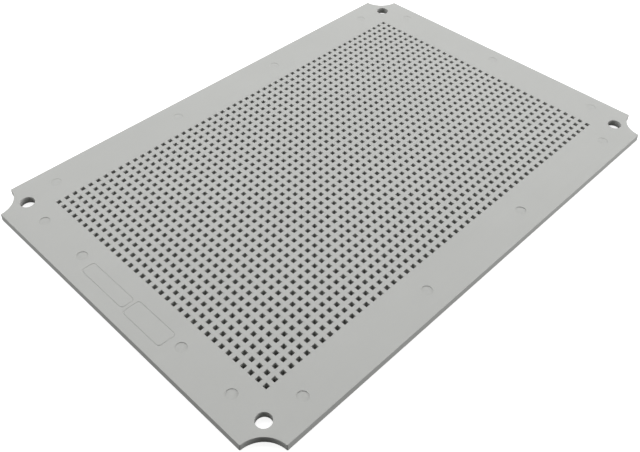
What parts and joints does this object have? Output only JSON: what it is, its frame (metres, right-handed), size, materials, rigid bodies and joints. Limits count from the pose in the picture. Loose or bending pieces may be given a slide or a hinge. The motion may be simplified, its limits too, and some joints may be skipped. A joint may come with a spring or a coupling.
{
  "type": "perforated mounting plate",
  "caption": "Flat rectangular plastic plate with a grid of small square through holes, a round fixing hole at each corner and concave corner notches.",
  "frame": {"origin": "centre of the back face, midway between the four fixing holes", "axes": "+X along the long side, +Y along the short side, +Z out of the front face"},
  "size_m": [0.32, 0.22, 0.004],
  "materials": {
    "grey_plastic": "satin moulded plastic with a fine even grain"
  },
  "bodies": {
    "root": {"mounting_plate": "grey_plastic"}
  },
  "joints": []
}
